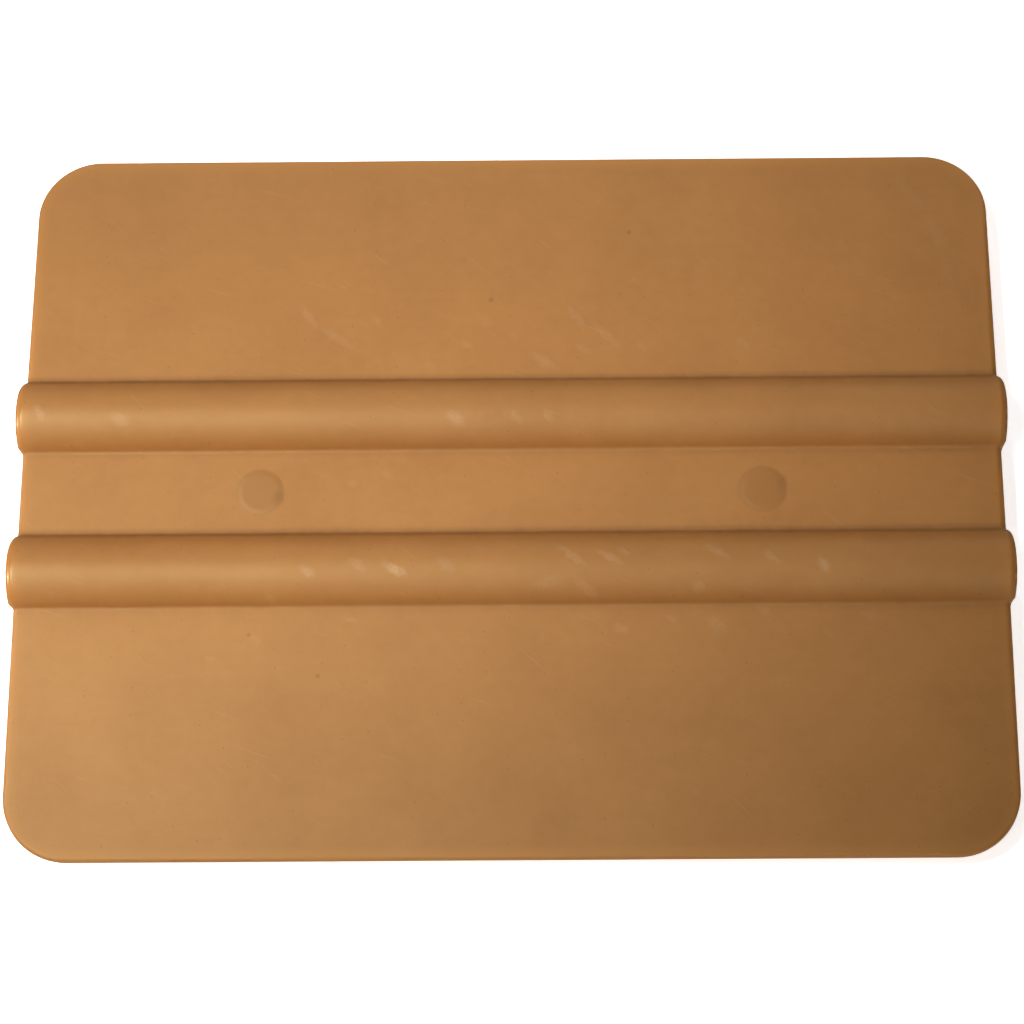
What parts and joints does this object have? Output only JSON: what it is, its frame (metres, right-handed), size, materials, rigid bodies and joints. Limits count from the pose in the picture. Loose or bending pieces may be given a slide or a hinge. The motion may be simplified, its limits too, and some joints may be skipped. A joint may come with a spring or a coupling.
{
  "type": "squeegee applicator",
  "caption": "Stiff rectangular hand squeegee card with rounded corners, tapered working edges and full-length round grip ribs, for smoothing vinyl film.",
  "frame": {"origin": "centre of the card seen from the front, on the plane that the crowns of its back ribs rest on", "axes": "+X along the ribs and working edges, +Y from the lower to the upper working edge, +Z out of the front face, which carries the two ejector pads"},
  "size_m": [0.1026, 0.0762, 0.0084],
  "materials": {
    "gold_nylon": "satin"
  },
  "bodies": {
    "root": {"upper_blade": "gold_nylon", "upper_rib": "gold_nylon", "centre_web": "gold_nylon", "lower_rib": "gold_nylon", "lower_blade": "gold_nylon", "left_ejector_pad": "gold_nylon", "right_ejector_pad": "gold_nylon"}
  },
  "joints": []
}
